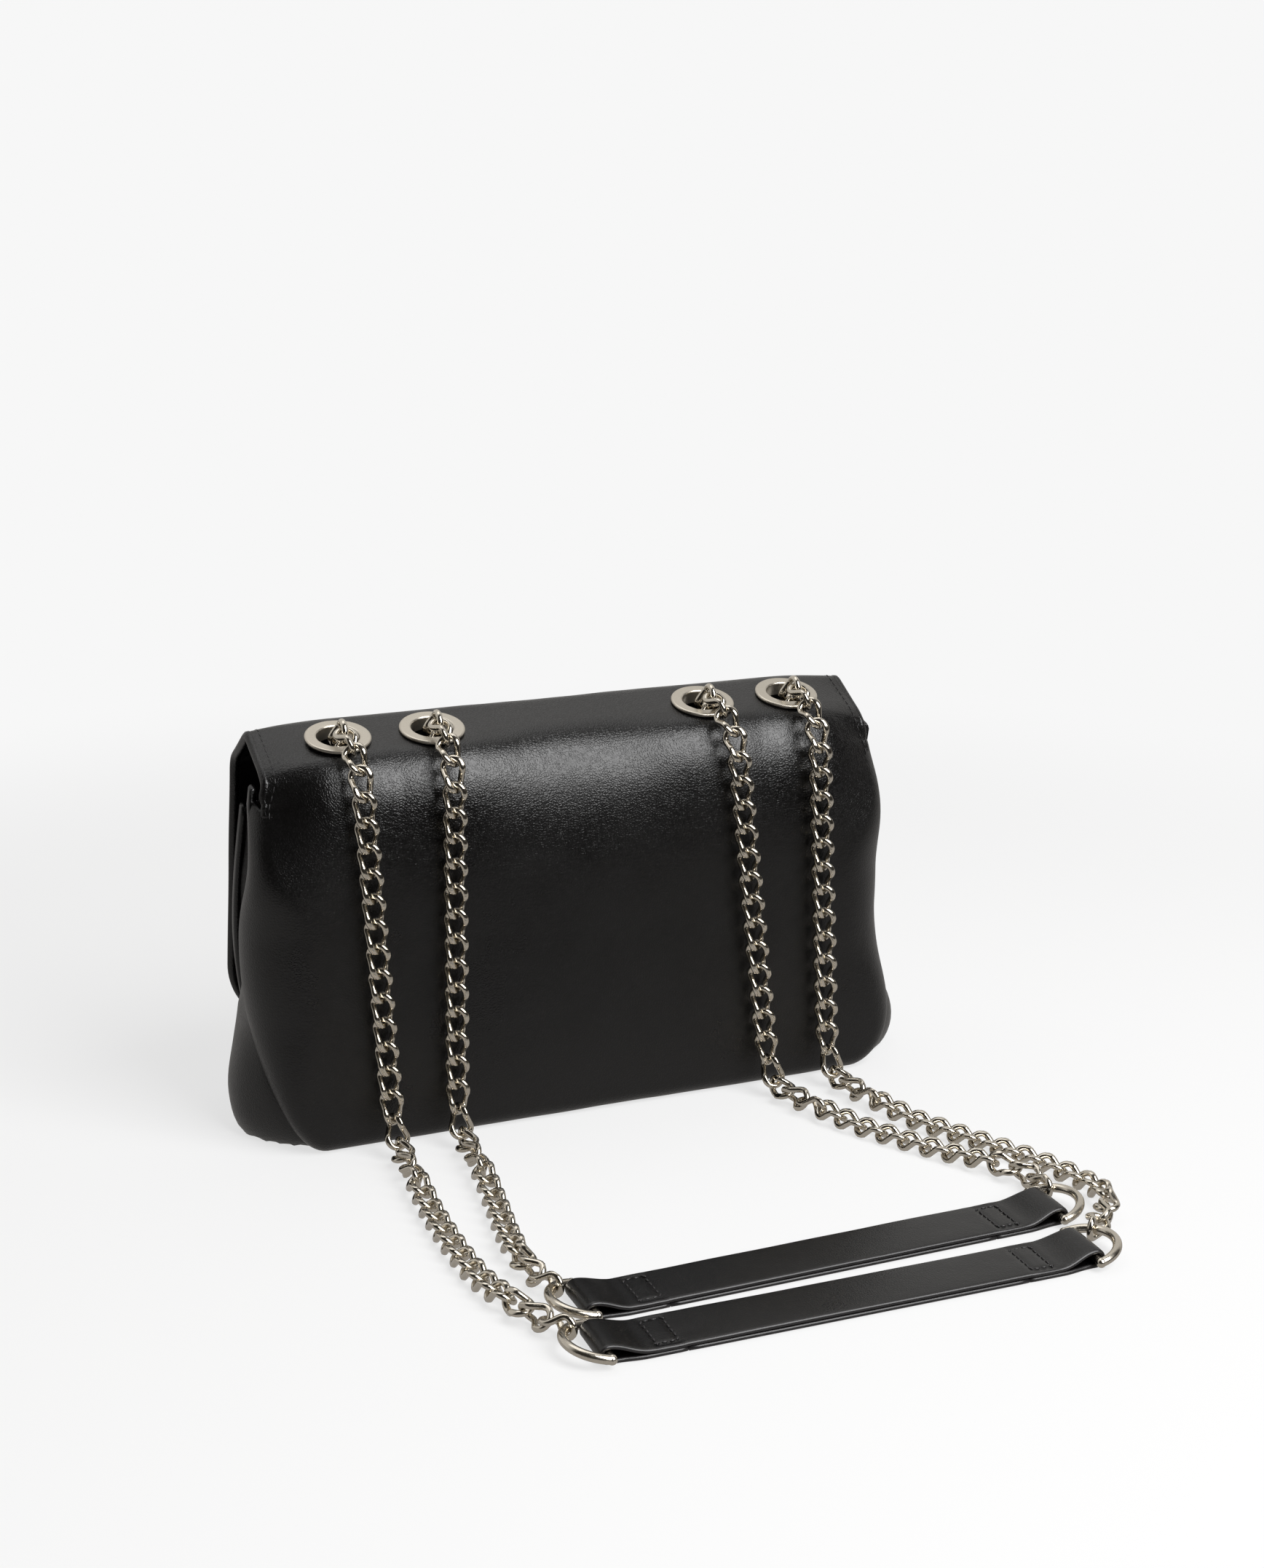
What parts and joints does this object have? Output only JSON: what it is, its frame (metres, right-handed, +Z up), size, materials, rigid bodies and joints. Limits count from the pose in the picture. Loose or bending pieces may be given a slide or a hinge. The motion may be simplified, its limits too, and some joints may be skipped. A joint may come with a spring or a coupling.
{
  "type": "flap shoulder bag",
  "caption": "Soft flap shoulder bag with folding gussets, a magnetic snap, and a doubled curb chain strap with leather shoulder pieces on rings.",
  "frame": {"origin": "centre of the flat base, on the surface that the bag stands on", "axes": "+Z up, X along the bag's length, the flap's front faces -Y, the straps lie towards +Y"},
  "size_m": [0.2643, 0.2506, 0.1537],
  "materials": {
    "leather": "smooth, soft gloss, fine grain",
    "strap_leather": "smooth, soft gloss, painted edges",
    "lining": "woven cloth",
    "board": "fibre board",
    "hardware": "satin pale nickel",
    "chain": "polished pale nickel"
  },
  "bodies": {
    "bag": {"base_panel": "leather", "base_board": "board", "rear_panel": "leather", "front_panel": "leather", "gusset_left": "leather", "gusset_right": "leather", "gusset_trim_left": "leather", "gusset_trim_right": "leather", "mouth_band": "leather", "lining_rear": "lining", "lining_front": "lining", "snap_socket": "hardware", "eyelet_left_outer": "hardware", "eyelet_left_inner": "hardware", "eyelet_right_inner": "hardware", "eyelet_right_outer": "hardware", "washer_left_outer": "hardware", "washer_left_inner": "hardware", "washer_right_inner": "hardware", "washer_right_outer": "hardware", "chain_inside_left": "chain", "chain_inside_right": "chain"},
    "flap": {"flap": "leather", "flap_facing": "leather", "snap_stud": "hardware"},
    "hanging_chain": {"chain_hang_left_outer": "chain", "chain_hang_left_inner": "chain", "chain_hang_right_inner": "chain", "chain_hang_right_outer": "chain"},
    "shoulder_strap": {"chain_floor_left_outer": "chain", "chain_floor_left_inner": "chain", "chain_floor_right_inner": "chain", "chain_floor_right_outer": "chain", "ring_rear_left": "hardware", "ring_rear_right": "hardware", "ring_front_left": "hardware", "ring_front_right": "hardware", "strap_rear": "strap_leather", "strap_front": "strap_leather", "strap_rear_backing": "strap_leather", "strap_front_backing": "strap_leather"}
  },
  "joints": [
    {"name": "flap_hinge", "type": "hinge", "parent": "bag", "child": "flap", "pos_m": [0, 0.00348, 0.14786], "axis": [-1, 0, 0], "range_deg": [0, 135]},
    {"name": "strap_swing", "type": "hinge", "parent": "bag", "child": "hanging_chain", "pos_m": [0, 0.02394, 0.14976], "axis": [1, 0, 0], "range_deg": [0, 150]},
    {"name": "strap_bend", "type": "hinge", "parent": "hanging_chain", "child": "shoulder_strap", "pos_m": [0, 0.04825, 0.00495], "axis": [1, 0, 0], "range_deg": [-90, 30]}
  ]
}
